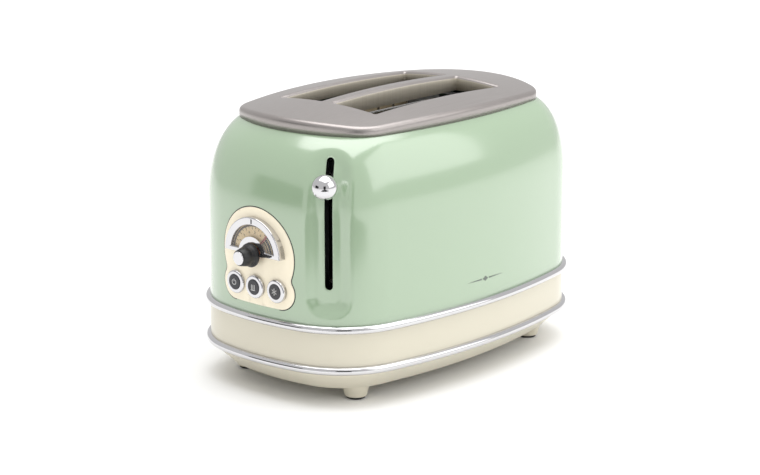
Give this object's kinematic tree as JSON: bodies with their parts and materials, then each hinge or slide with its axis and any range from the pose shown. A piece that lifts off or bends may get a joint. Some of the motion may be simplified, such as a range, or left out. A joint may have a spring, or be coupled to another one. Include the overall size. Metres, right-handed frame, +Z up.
{
  "type": "pop-up toaster",
  "caption": "Domed retro pop-up toaster with a painted shell, crowned steel top, cream base between chrome rings, side lever and browning dial.",
  "frame": {"origin": "on the worktop, under the middle of the whole object's box", "axes": "+Z up; +X along the length towards the crumb tray end, away from the control panel; -Y towards the long side beside the lever"},
  "size_m": [0.3136, 0.196, 0.2067],
  "materials": {
    "mint_paint": "gloss",
    "brushed_plate": "brushed",
    "chrome_trim": "polished",
    "cream_plastic": "semi-gloss",
    "panel_cream": "semi-gloss",
    "rubber_pad": "matte",
    "black_plastic": "satin",
    "dark_button": "satin",
    "zinc_steel": "zinc plated",
    "wire_steel": "drawn wire",
    "mica_card": "mica sheet",
    "heater_ribbon": "oxidised ribbon",
    "iron_core": "laminated",
    "copper_wire": "enamelled winding",
    "phenolic": "moulded",
    "brass_contact": "satin",
    "dial_face": "printed",
    "clear_lens": "clear",
    "needle_red": "gloss",
    "board_laminate": "laminate"
  },
  "bodies": {
    "housing": {"body_shell": "mint_paint", "top_plate": "brushed_plate", "upper_trim_ring": "chrome_trim", "lower_trim_ring": "chrome_trim", "base_band": "cream_plastic", "base_pan": "cream_plastic", "feet": "cream_plastic", "foot_pads": "rubber_pad", "base_screws": "zinc_steel", "cord_gland": "black_plastic", "chassis_floor": "zinc_steel", "front_end_plate": "zinc_steel", "rear_end_plate": "zinc_steel", "guide_rod": "zinc_steel", "heat_shields": "zinc_steel", "tray_rails": "zinc_steel", "heater_cards": "mica_card", "heater_ribbons": "heater_ribbon", "carriage_spring": "wire_steel", "slot_liner": "black_plastic", "magnet_core": "iron_core", "magnet_coil": "copper_wire", "switch_block": "phenolic", "switch_contacts": "brass_contact", "control_panel": "panel_cream", "dial_frame": "chrome_trim", "dial_scale": "dial_face", "dial_lens": "clear_lens", "button_bezels": "chrome_trim", "button_springs": "wire_steel", "circuit_board": "board_laminate", "board_components": "black_plastic", "board_screws": "zinc_steel", "terminal_block": "phenolic"},
    "carriage": {"lever_ball": "chrome_trim", "lever_stem": "zinc_steel", "carriage_block": "zinc_steel", "carriage_link": "zinc_steel", "near_bread_rack": "wire_steel", "far_bread_rack": "wire_steel", "armature_plate": "zinc_steel"},
    "knob": {"browning_knob": "black_plastic", "knob_cap": "chrome_trim", "knob_shaft": "zinc_steel", "dial_needle": "needle_red"},
    "cancel_button": {"cancel_button": "dark_button"},
    "reheat_button": {"reheat_button": "dark_button"},
    "defrost_button": {"defrost_button": "dark_button"},
    "crumb_drawer": {"crumb_tray": "zinc_steel", "tray_front": "cream_plastic"},
    "guide_near_outer": {"bread_guide_near_outer": "wire_steel"},
    "guide_near_inner": {"bread_guide_near_inner": "wire_steel"},
    "guide_far_inner": {"bread_guide_far_inner": "wire_steel"},
    "guide_far_outer": {"bread_guide_far_outer": "wire_steel"}
  },
  "joints": [
    {"name": "lever_slide", "type": "slide", "parent": "housing", "child": "carriage", "axis": [0, 0, 1], "range_m": [-0.072, 0.011], "stiffness_N_per_m": 120, "deforming": ["carriage_spring"]},
    {"name": "browning_turn", "type": "hinge", "parent": "housing", "child": "knob", "pos_m": [-0.14515, 0, 0.106], "axis": [1, 0, 0], "range_deg": [-100, 20]},
    {"name": "cancel_press", "type": "slide", "parent": "housing", "child": "cancel_button", "axis": [1, 0, 0], "range_m": [0, 0.0015], "stiffness_N_per_m": 400, "deforming": ["button_springs"]},
    {"name": "reheat_press", "type": "slide", "parent": "housing", "child": "reheat_button", "axis": [1, 0, 0], "range_m": [0, 0.0015], "stiffness_N_per_m": 400, "deforming": ["button_springs"]},
    {"name": "defrost_press", "type": "slide", "parent": "housing", "child": "defrost_button", "axis": [1, 0, 0], "range_m": [0, 0.0015], "stiffness_N_per_m": 400, "deforming": ["button_springs"]},
    {"name": "crumb_tray_slide", "type": "slide", "parent": "housing", "child": "crumb_drawer", "axis": [1, 0, 0], "range_m": [0, 0.2]},
    {"name": "guide_near_inner_slide", "type": "slide", "parent": "housing", "child": "guide_near_inner", "axis": [0, -1, 0], "range_m": [-0.0012, 0.0073]},
    {"name": "guide_near_outer_slide", "type": "slide", "parent": "housing", "child": "guide_near_outer", "axis": [0, 1, 0], "range_m": [-0.0012, 0.0073]},
    {"name": "guide_far_inner_slide", "type": "slide", "parent": "housing", "child": "guide_far_inner", "axis": [0, 1, 0], "range_m": [-0.0012, 0.0073]},
    {"name": "guide_far_outer_slide", "type": "slide", "parent": "housing", "child": "guide_far_outer", "axis": [0, -1, 0], "range_m": [-0.0012, 0.0073]}
  ],
  "couplings": [
    {"joint": "guide_near_inner_slide", "follows": "lever_slide", "ratio": -0.1},
    {"joint": "guide_near_outer_slide", "follows": "lever_slide", "ratio": -0.1},
    {"joint": "guide_far_inner_slide", "follows": "lever_slide", "ratio": -0.1},
    {"joint": "guide_far_outer_slide", "follows": "lever_slide", "ratio": -0.1}
  ]
}
